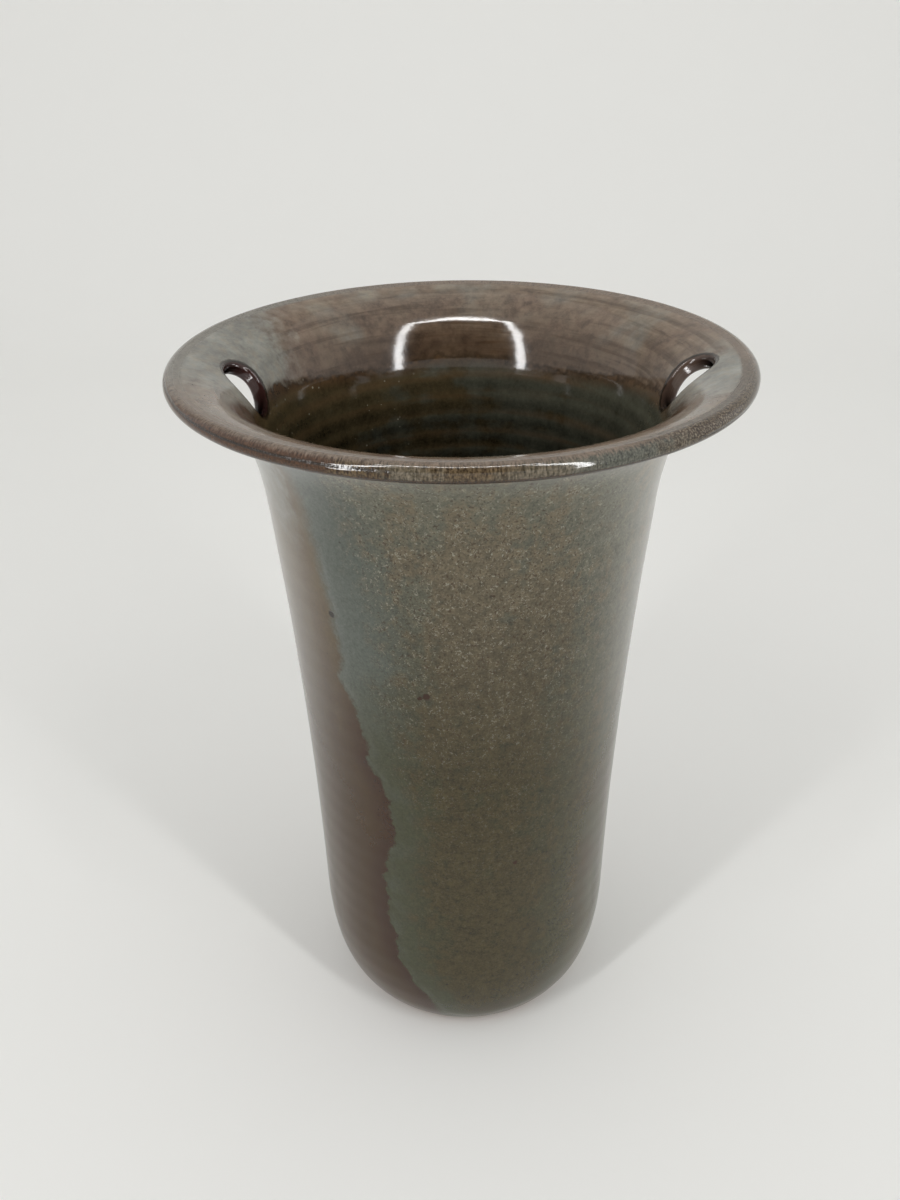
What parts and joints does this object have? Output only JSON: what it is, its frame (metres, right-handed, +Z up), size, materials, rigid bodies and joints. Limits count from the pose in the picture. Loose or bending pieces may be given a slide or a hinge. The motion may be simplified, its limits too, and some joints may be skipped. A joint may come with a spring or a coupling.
{
  "type": "flower vase",
  "caption": "Tall glazed stoneware vase with a slim body, a rounded foot and a wide flared rim pierced by a cut-out on either side.",
  "frame": {"origin": "centre of the foot, on the surface that the vase stands on", "axes": "+Z up along the vase's axis, -Y towards the front, where the glaze's ragged edge shows; the cut-outs are at -X and +X"},
  "size_m": [0.1764, 0.1764, 0.2499],
  "materials": {
    "stoneware": "bare fired stoneware, matt",
    "liner_glaze": "glossy, dark green-brown",
    "base_glaze": "glossy, iron brown",
    "rim_glaze": "high gloss, brown breaking to blue-green",
    "poured_glaze": "satin gloss, blue-green to olive with pale flecks"
  },
  "bodies": {
    "root": {"stoneware_body": "stoneware", "liner_glaze": "liner_glaze", "base_glaze": "base_glaze", "rim_glaze": "rim_glaze", "poured_glaze": "poured_glaze"}
  },
  "joints": []
}
